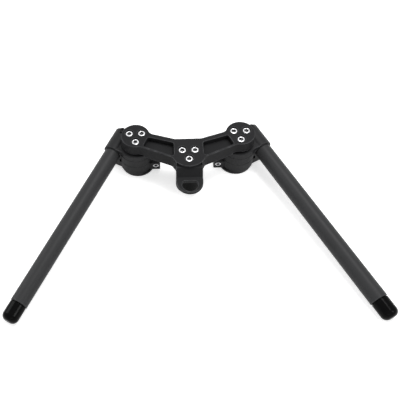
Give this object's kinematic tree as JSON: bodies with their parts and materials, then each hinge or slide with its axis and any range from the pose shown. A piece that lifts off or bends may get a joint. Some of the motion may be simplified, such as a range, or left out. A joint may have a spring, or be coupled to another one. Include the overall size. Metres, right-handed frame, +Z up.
{
  "type": "scooter handlebar",
  "caption": "Clip-on scooter handlebar: a bridge plate over two posts, a clamp with a swept bar tube on each post, and a stem clamp under the deck.",
  "frame": {"origin": "centre of the bounding box's foot, on the surface that the two posts and the tips of the end plugs stand on", "axes": "+X to the rider's right, across the bars; +Y forward, away from the rider; +Z up along the posts and the steering stem"},
  "size_m": [0.4616, 0.2731, 0.0612],
  "materials": {
    "plate": "black anodised, matt",
    "post": "black anodised, matt, turned",
    "arm": "black anodised, matt",
    "spacer": "black, matt",
    "tube": "black powder coat, satin",
    "plug": "black, glossy",
    "screw": "bright zinc plated",
    "black_screw": "blackened"
  },
  "bodies": {
    "root": {"bridge_plate": "plate", "left_post": "post", "right_post": "post", "left_spacer": "spacer", "right_spacer": "spacer", "left_arm": "arm", "right_arm": "arm", "left_pinch_bolt": "screw", "right_pinch_bolt": "screw", "left_tower_screws": "screw", "right_tower_screws": "screw", "centre_screws": "screw", "left_bar_tube": "tube", "right_bar_tube": "tube", "left_end_plug": "plug", "right_end_plug": "plug", "left_bar_screw": "black_screw", "right_bar_screw": "black_screw", "stem_clamp": "arm", "stem_pinch_bolt": "screw"}
  },
  "joints": []
}
